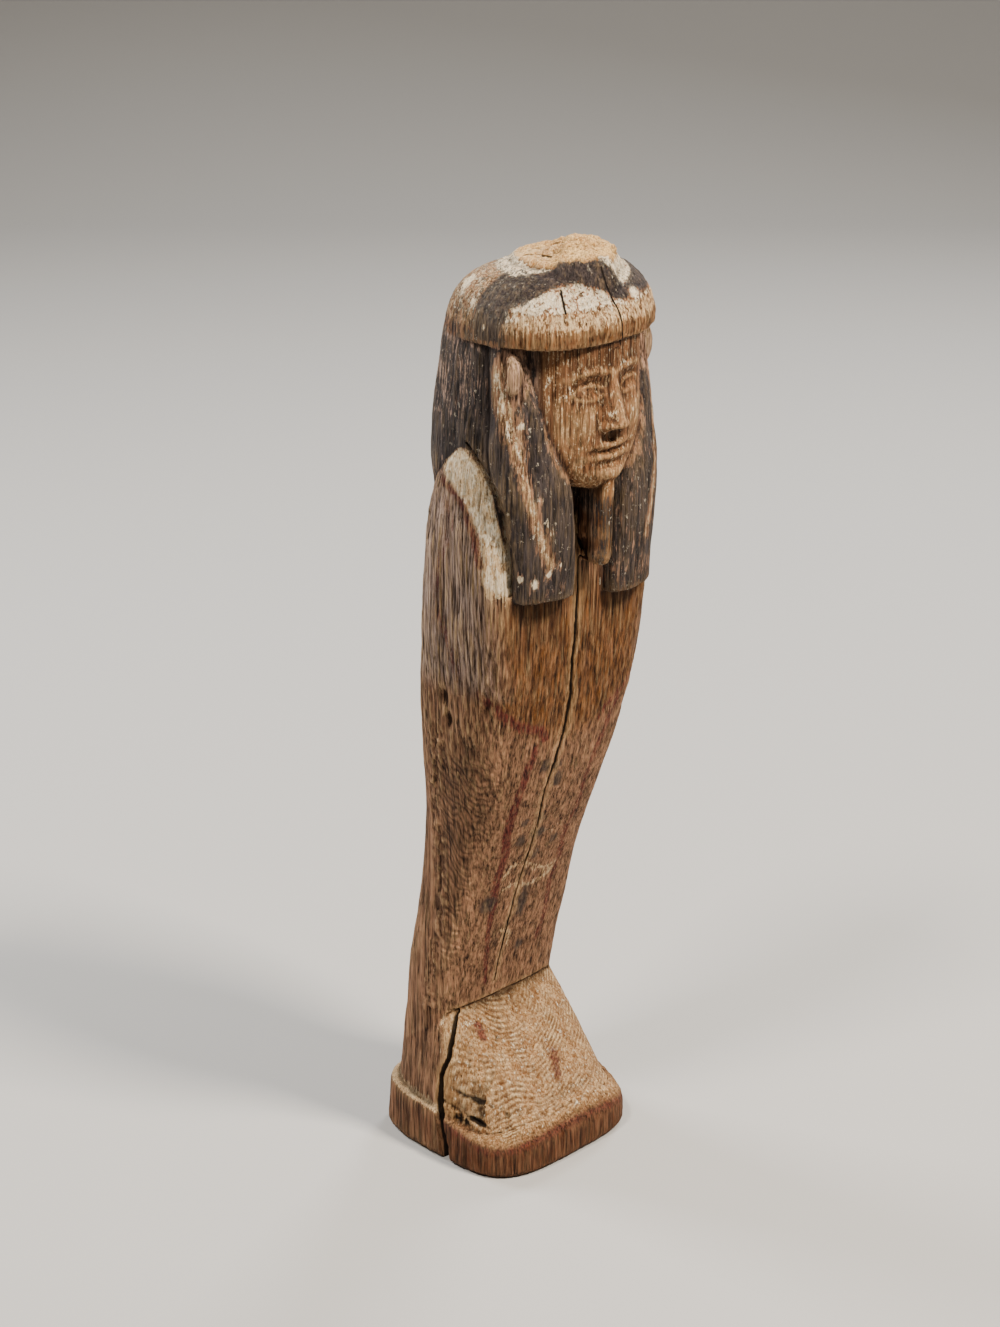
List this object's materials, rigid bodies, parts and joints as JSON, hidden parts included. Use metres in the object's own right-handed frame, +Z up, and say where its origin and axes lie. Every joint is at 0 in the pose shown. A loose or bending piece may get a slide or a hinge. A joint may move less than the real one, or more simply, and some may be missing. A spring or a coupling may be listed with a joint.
{
  "type": "ptah-sokar-osiris figure",
  "caption": "Carved and painted wooden mummiform funerary figure on its own foot block, crown broken off, with drying cracks and worn paint.",
  "frame": {"origin": "middle of the plinth's flat underside", "axes": "+Z up to the broken crown, -Y the way the figure faces, -X its proper right"},
  "size_m": [0.0906, 0.1044, 0.38],
  "materials": {
    "painted_wood": "weathered bare wood with remains of gesso and dark, red and cream paint"
  },
  "bodies": {
    "root": {"figure": "painted_wood"}
  },
  "joints": []
}
